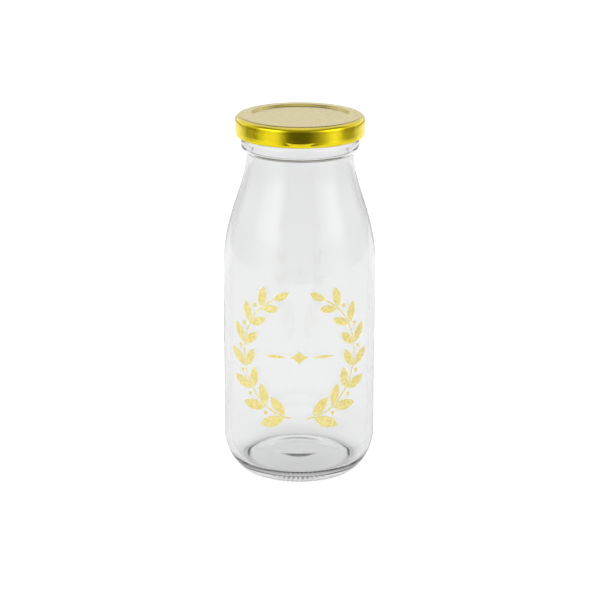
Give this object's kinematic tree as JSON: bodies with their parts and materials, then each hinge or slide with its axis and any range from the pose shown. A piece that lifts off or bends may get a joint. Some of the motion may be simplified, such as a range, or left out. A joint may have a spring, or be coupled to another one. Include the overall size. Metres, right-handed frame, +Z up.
{
  "type": "glass milk bottle",
  "caption": "Small clear glass milk bottle with sloping shoulder and beaded neck, a gold twist-off lug cap with sealing ring, and a gold foil wreath on the front.",
  "frame": {"origin": "on the surface it stands on, at the middle of the bearing ring", "axes": "+Z up along the bottle's axis, the printed front towards -Y"},
  "size_m": [0.055, 0.0551, 0.131],
  "materials": {
    "clear_glass": "clear, smooth",
    "gold_lacquer": "gold lacquer on tinplate, glossy",
    "soft_seal": "soft, satin",
    "gold_foil": "hot-stamped gold foil, bright"
  },
  "bodies": {
    "bottle": {"glass_bottle": "clear_glass", "foil_right_leaves": "gold_foil", "foil_left_leaves": "gold_foil", "foil_right_stem": "gold_foil", "foil_left_stem": "gold_foil", "foil_berries": "gold_foil", "foil_centre_ornament": "gold_foil"},
    "seal": {"sealing_gasket": "soft_seal"},
    "cap": {"cap_shell": "gold_lacquer"}
  },
  "joints": [
    {"name": "cap_rise", "type": "slide", "parent": "bottle", "child": "seal", "axis": [0, 0, 1], "range_m": [0, 0.013]},
    {"name": "cap_turn", "type": "hinge", "parent": "seal", "child": "cap", "pos_m": [0, 0, 0.1236], "axis": [0, 0, 1], "range_deg": [0, 360]}
  ],
  "couplings": [
    {"joint": "cap_rise", "follows": "cap_turn", "m_per_rad": 0.002069}
  ]
}
